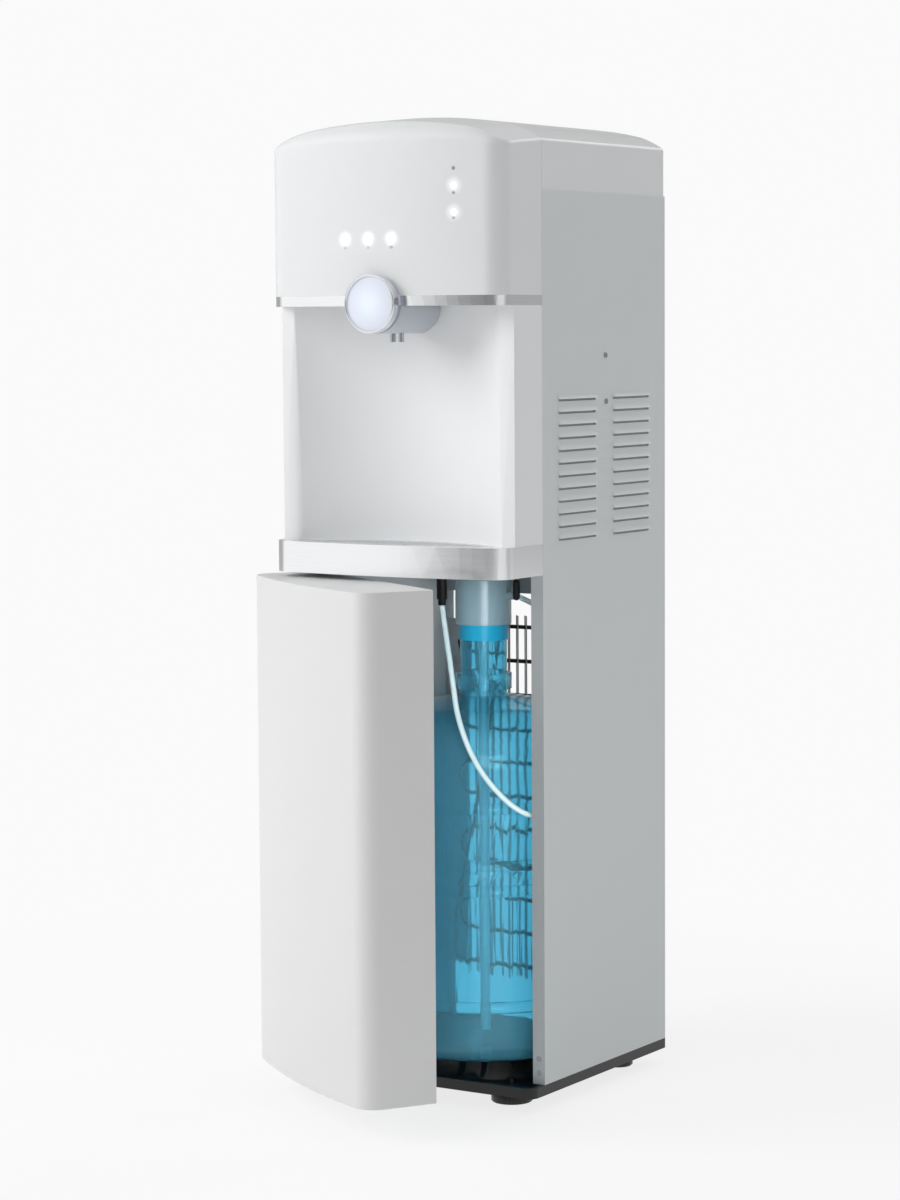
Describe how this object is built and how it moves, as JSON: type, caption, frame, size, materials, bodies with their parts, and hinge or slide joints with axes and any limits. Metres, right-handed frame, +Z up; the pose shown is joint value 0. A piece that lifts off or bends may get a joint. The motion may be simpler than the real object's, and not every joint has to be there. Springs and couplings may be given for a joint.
{
  "type": "bottom load water cooler",
  "caption": "Tall cabinet water dispenser: crowned head with a round button, open cup niche, drip tray, side louvres and a hinged lower door over a water bottle.",
  "frame": {"origin": "on the floor under the middle of the cabinet, door shut", "axes": "+X to the right of someone facing the front, +Y to the back, +Z up"},
  "size_m": [0.3439, 0.5258, 1.121],
  "materials": {
    "black_base": "satin",
    "black_foot": "satin",
    "blue_bottle": "clear",
    "teal_cap": "gloss",
    "clear_cap": "clear",
    "probe_white": "satin",
    "coated_steel": "satin",
    "galvanised": "satin",
    "screw_steel": "satin",
    "door_white": "satin",
    "liner_white": "satin",
    "bush_white": "satin",
    "catch_rubber": "matt",
    "brushed_band": "brushed",
    "head_white": "gloss",
    "tray_grey": "satin",
    "grille_grey": "satin",
    "niche_white": "satin",
    "button_chrome": "polished",
    "button_glow": "lit",
    "housing_grey": "gloss",
    "nozzle_steel": "satin",
    "black_part": "satin",
    "lamp_white": "lit",
    "board_green": "satin",
    "tank_steel": "satin",
    "copper_jacket": "satin",
    "foam_white": "matt",
    "heater_steel": "satin",
    "compressor_black": "gloss",
    "tube_black": "satin",
    "wire_grey": "satin",
    "pump_white": "satin",
    "hose_clear": "clear",
    "rocker_green": "gloss",
    "rocker_red": "gloss"
  },
  "bodies": {
    "cabinet": {"base_plate": "black_base", "rear_feet": "black_foot", "bottle": "blue_bottle", "crown_cap": "teal_cap", "probe_cap": "clear_cap", "probe_tube": "probe_white", "side_panel_left": "coated_steel", "side_panel_right": "coated_steel", "rear_panel": "galvanised", "screws": "screw_steel", "lower_deck": "galvanised", "tank_deck": "galvanised", "hinge_brackets": "galvanised", "door_catch": "catch_rubber", "tray_band": "brushed_band", "tray_shelf": "head_white", "niche_panel": "niche_white", "trim_band": "brushed_band", "head_floor": "head_white", "head_cover": "head_white", "top_cover": "head_white", "tap_housing": "housing_grey", "nozzles": "nozzle_steel", "valve_body": "probe_white", "dispense_switch": "black_part", "indicator_lamps": "lamp_white", "control_board": "board_green", "cold_tank": "tank_steel", "cooling_jacket": "copper_jacket", "foam_case": "foam_white", "hot_tank": "tank_steel", "heater_band": "heater_steel", "thermostats": "black_part", "compressor": "compressor_black", "grommets": "catch_rubber", "start_relay": "black_part", "refrigerant_tubes": "tube_black", "condenser_tube": "tube_black", "condenser_wires": "wire_grey", "condenser_brackets": "galvanised", "pump": "pump_white", "hose_fitting": "black_part", "hose": "hose_clear", "power_gland": "black_part", "switch_housings": "black_part"},
    "door": {"door_shell": "door_white", "door_liner": "liner_white", "door_bushes": "bush_white"},
    "dispense_button": {"button_rim": "button_chrome", "button_lens": "button_glow"},
    "selector_left": {"selector_left": "lamp_white"},
    "selector_middle": {"selector_middle": "lamp_white"},
    "selector_right": {"selector_right": "lamp_white"},
    "drip_tray": {"drip_tray": "tray_grey"},
    "drip_grille": {"drip_grille": "grille_grey"},
    "rocker_left": {"rocker_left": "rocker_green"},
    "rocker_right": {"rocker_right": "rocker_red"},
    "front_foot_left": {"front_foot_left": "black_foot"},
    "front_foot_right": {"front_foot_right": "black_foot"},
    "drain_cap": {"drain_cap": "black_part"}
  },
  "joints": [
    {"name": "door_hinge", "type": "hinge", "parent": "cabinet", "child": "door", "pos_m": [-0.147, -0.1025, 0.3205], "axis": [0, 0, -1], "range_deg": [-32.2, 67.8]},
    {"name": "dispense_press", "type": "slide", "parent": "cabinet", "child": "dispense_button", "axis": [0, 1, 0], "range_m": [0, 0.004], "stiffness_N_per_m": 500, "springref_m": -0.002},
    {"name": "selector_left_press", "type": "slide", "parent": "cabinet", "child": "selector_left", "axis": [0, 1, 0], "range_m": [0, 0.0012], "stiffness_N_per_m": 600, "springref_m": -0.0008},
    {"name": "selector_middle_press", "type": "slide", "parent": "cabinet", "child": "selector_middle", "axis": [0, 1, 0], "range_m": [0, 0.0012], "stiffness_N_per_m": 600, "springref_m": -0.0008},
    {"name": "selector_right_press", "type": "slide", "parent": "cabinet", "child": "selector_right", "axis": [0, 1, 0], "range_m": [0, 0.0012], "stiffness_N_per_m": 600, "springref_m": -0.0008},
    {"name": "drip_tray_lift", "type": "slide", "parent": "cabinet", "child": "drip_tray", "axis": [0, 0, 1], "range_m": [0, 0.06]},
    {"name": "drip_grille_lift", "type": "slide", "parent": "drip_tray", "child": "drip_grille", "axis": [0, 0, 1], "range_m": [0, 0.03]},
    {"name": "rocker_left_switch", "type": "hinge", "parent": "cabinet", "child": "rocker_left", "pos_m": [-0.092, 0.19175, 0.9775], "axis": [1, 0, 0], "range_deg": [-16, 0]},
    {"name": "rocker_right_switch", "type": "hinge", "parent": "cabinet", "child": "rocker_right", "pos_m": [-0.058, 0.19175, 0.9775], "axis": [1, 0, 0], "range_deg": [-16, 0]},
    {"name": "foot_left_turn", "type": "hinge", "parent": "cabinet", "child": "front_foot_left", "pos_m": [-0.096, -0.06675, 0.009], "axis": [0, 0, 1], "continuous": true},
    {"name": "foot_right_turn", "type": "hinge", "parent": "cabinet", "child": "front_foot_right", "pos_m": [0.096, -0.06675, 0.009], "axis": [0, 0, 1], "continuous": true},
    {"name": "drain_cap_off", "type": "slide", "parent": "cabinet", "child": "drain_cap", "axis": [0, 1, 0], "range_m": [0, 0.03]}
  ]
}
